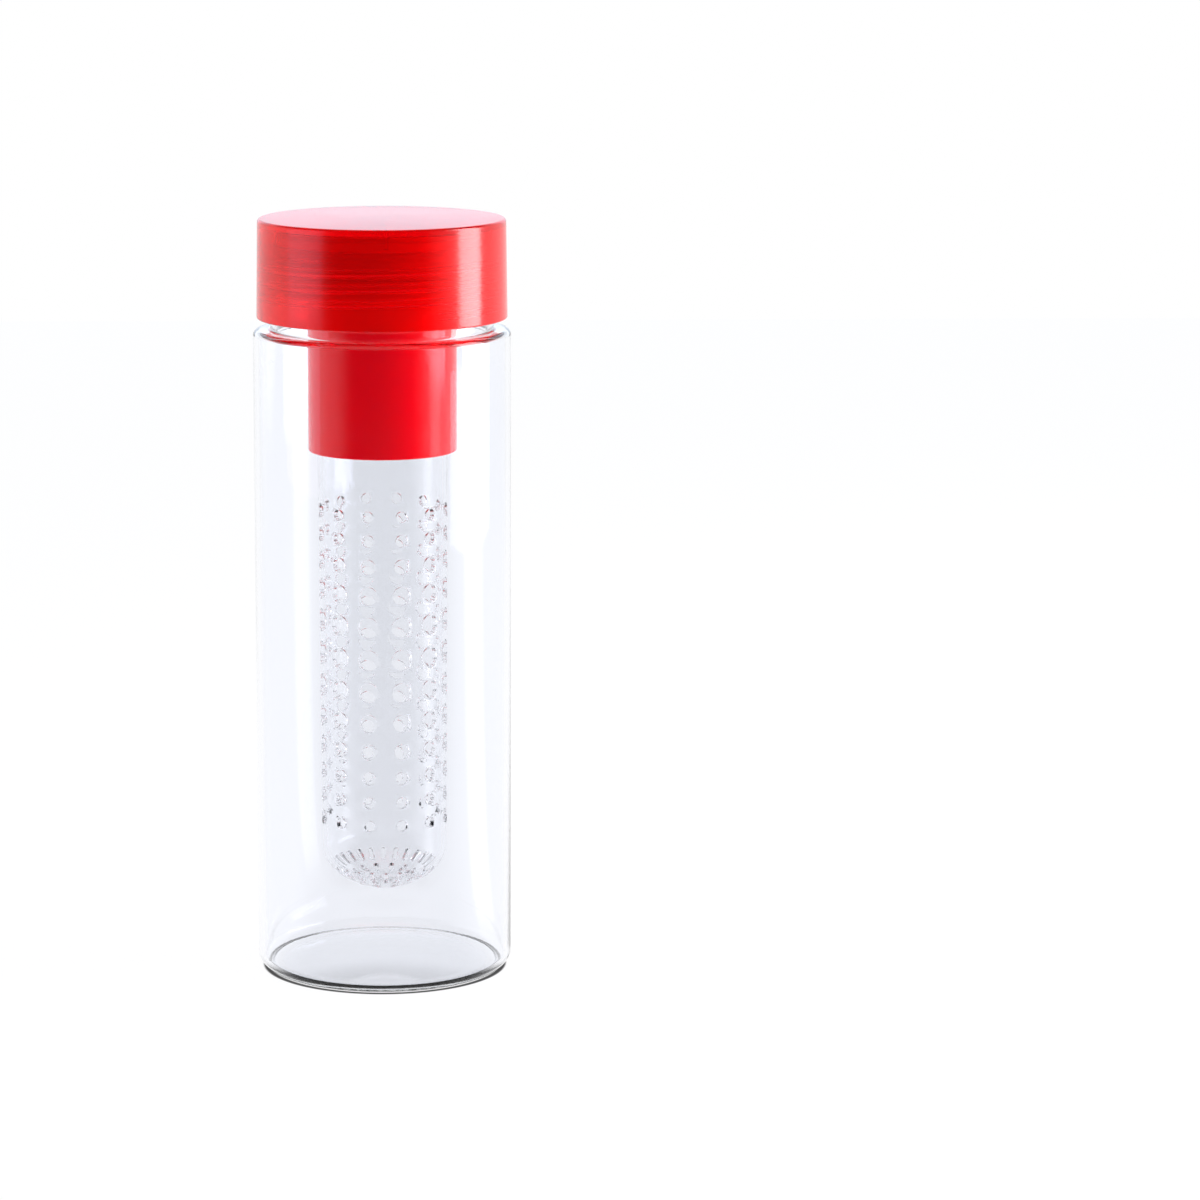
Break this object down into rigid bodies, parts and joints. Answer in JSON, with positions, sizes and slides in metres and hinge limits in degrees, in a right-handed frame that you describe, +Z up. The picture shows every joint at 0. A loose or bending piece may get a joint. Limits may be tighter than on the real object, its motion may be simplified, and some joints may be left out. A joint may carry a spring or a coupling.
{
  "type": "sports water bottle with fruit infuser",
  "caption": "Clear sports water bottle with a translucent red screw lid and a perforated fruit infuser tube hung from a slotted collar with a sealing ring.",
  "frame": {"origin": "centre of the standing face, on the bottle's axis", "axes": "+Z up along the bottle's axis, -Y towards the viewer of the picture"},
  "size_m": [0.072, 0.072, 0.2133],
  "materials": {
    "bottle_clear": "polished clear",
    "lid_red": "polished translucent",
    "seal_white": "matt silicone",
    "collar_red": "satin",
    "seal_pink": "matt silicone",
    "tube_clear": "polished clear"
  },
  "bodies": {
    "bottle": {"bottle": "bottle_clear"},
    "infuser": {"infuser_collar": "collar_red", "collar_seal": "seal_pink"},
    "tube": {"infuser_tube": "tube_clear"},
    "lid_lift": {"lid_seal": "seal_white"},
    "lid": {"lid": "lid_red"}
  },
  "joints": [
    {"name": "infuser_turn", "type": "hinge", "parent": "bottle", "child": "infuser", "pos_m": [0, 0, 0.2068], "axis": [0, 0, 1], "continuous": true},
    {"name": "tube_pull", "type": "slide", "parent": "infuser", "child": "tube", "axis": [0, 0, -1], "range_m": [0, 0.0135]},
    {"name": "lid_rise", "type": "slide", "parent": "bottle", "child": "lid_lift", "axis": [0, 0, 1], "range_m": [0, 0.0252]},
    {"name": "lid_turn", "type": "hinge", "parent": "lid_lift", "child": "lid", "pos_m": [0, 0, 0.2113], "axis": [0, 0, 1], "range_deg": [0, 2160]}
  ],
  "couplings": [
    {"joint": "lid_turn", "follows": "lid_rise", "rad_per_m": 1496}
  ]
}
